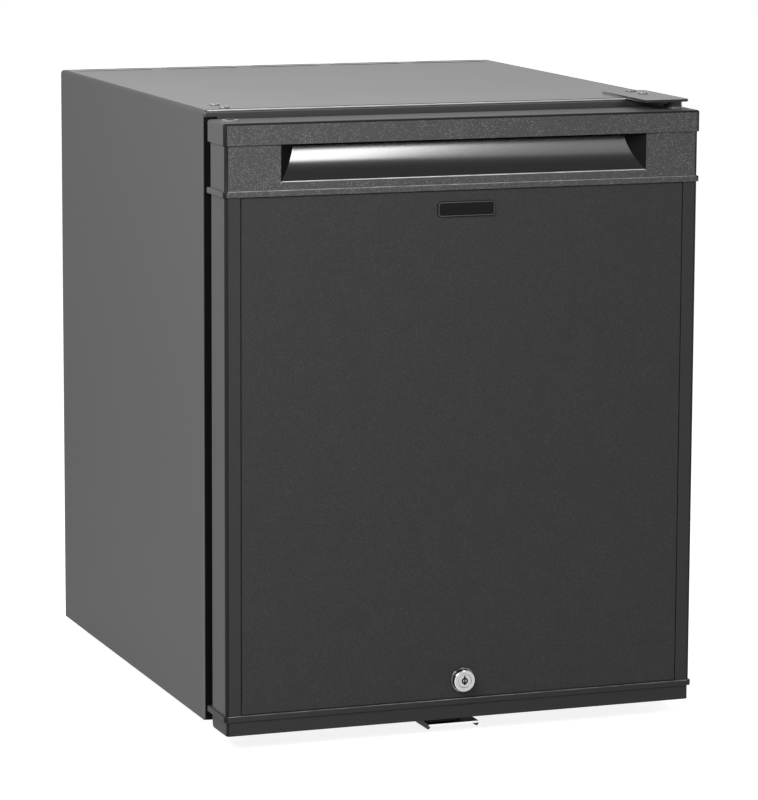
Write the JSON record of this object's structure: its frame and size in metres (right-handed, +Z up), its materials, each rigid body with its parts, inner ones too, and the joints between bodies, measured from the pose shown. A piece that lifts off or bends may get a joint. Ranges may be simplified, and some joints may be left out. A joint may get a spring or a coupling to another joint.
{
  "type": "minibar fridge",
  "caption": "Compact absorption minibar fridge with a right-hinged insulated door, recessed top handle, cam lock and vented steel cabinet.",
  "frame": {"origin": "on the floor under the centre of the whole fridge, door included", "axes": "+Z up, -Y towards the door's front, +X to the right as one faces the door"},
  "size_m": [0.4, 0.4638, 0.5036],
  "materials": {
    "side_paint": "satin",
    "top_paint": "satin",
    "frame_paint": "satin",
    "zinc_sheet": "satin",
    "foam": "matte",
    "white_liner": "gloss",
    "shelf_steel": "satin",
    "cold_plate": "satin",
    "switch_black": "matte",
    "circuit_board": "satin",
    "clear_lens": "gloss",
    "control_plastic": "satin",
    "knob_plastic": "satin",
    "foot_rubber": "matte",
    "screw_steel": "satin",
    "dark_screw": "satin",
    "hinge_paint": "satin",
    "strike_steel": "satin",
    "pin_steel": "satin",
    "washer_steel": "polished",
    "pipe_black": "satin",
    "fin_black": "matte",
    "cover_steel": "satin",
    "wool": "matte",
    "heater_steel": "polished",
    "lead_black": "matte",
    "box_grey": "matte",
    "gland_black": "matte",
    "cap_plastic": "satin",
    "profile_plastic": "satin",
    "panel_paint": "matte",
    "seal_rubber": "matte",
    "magnet": "matte",
    "gloss_black": "gloss",
    "badge_black": "gloss",
    "bush_plastic": "satin",
    "bin_clear": "gloss",
    "rail_chrome": "polished",
    "lock_chrome": "polished",
    "lock_zinc": "satin"
  },
  "bodies": {
    "cabinet": {"side_panel_right": "side_paint", "side_panel_left": "side_paint", "top_panel": "top_paint", "front_frame": "frame_paint", "base_pan": "zinc_sheet", "back_panel": "zinc_sheet", "cabinet_foam": "foam", "inner_liner": "white_liner", "shelf_lower": "shelf_steel", "shelf_upper": "shelf_steel", "evaporator": "cold_plate", "drip_tray": "white_liner", "door_switch": "switch_black", "lamp_board": "circuit_board", "lamp_lens": "clear_lens", "thermostat_housing": "control_plastic", "feet": "foot_rubber", "foot_screws": "screw_steel", "hinge_screws": "screw_steel", "blanking_screws": "screw_steel", "strike_plate": "strike_steel", "strike_screws": "dark_screw", "top_hinge_plate": "hinge_paint", "bottom_hinge_plate": "strike_steel", "hinge_pins": "pin_steel", "hinge_washers": "washer_steel", "unit_pipework": "pipe_black", "solution_tank": "pipe_black", "absorber_coil": "pipe_black", "condenser_fins": "fin_black", "boiler_cover": "cover_steel", "boiler_insulation": "wool", "heater_cartridge": "heater_steel", "heater_leads": "lead_black", "unit_straps": "zinc_sheet", "control_box": "box_grey", "control_box_cover": "box_grey", "cable_gland": "gland_black"},
    "door": {"door_top_cap": "cap_plastic", "door_bottom_cap": "cap_plastic", "door_profile_right": "profile_plastic", "door_profile_left": "profile_plastic", "door_front_panel": "panel_paint", "door_foam": "foam", "door_liner": "white_liner", "door_gasket": "seal_rubber", "gasket_magnets": "magnet", "handle_insert": "gloss_black", "badge_plate": "badge_black", "hinge_bushes": "bush_plastic", "door_bin_lower": "bin_clear", "door_bin_upper": "bin_clear", "bin_rails": "rail_chrome", "lock_housing": "lock_chrome", "lock_nut": "lock_zinc"},
    "lock": {"lock_plug": "lock_chrome", "lock_cam": "lock_zinc", "cam_screw": "screw_steel"},
    "knob": {"thermostat_knob": "knob_plastic"}
  },
  "joints": [
    {"name": "door_hinge", "type": "hinge", "parent": "cabinet", "child": "door", "pos_m": [0.187, -0.2051, 0.25], "axis": [0, 0, 1], "range_deg": [0, 110]},
    {"name": "lock_turn", "type": "hinge", "parent": "door", "child": "lock", "pos_m": [0, -0.2065, 0.044], "axis": [0, -1, 0], "range_deg": [0, 90]},
    {"name": "thermostat_turn", "type": "hinge", "parent": "cabinet", "child": "knob", "pos_m": [0.144, -0.0011, 0.393], "axis": [1, 0, 0], "range_deg": [0, 270]}
  ]
}
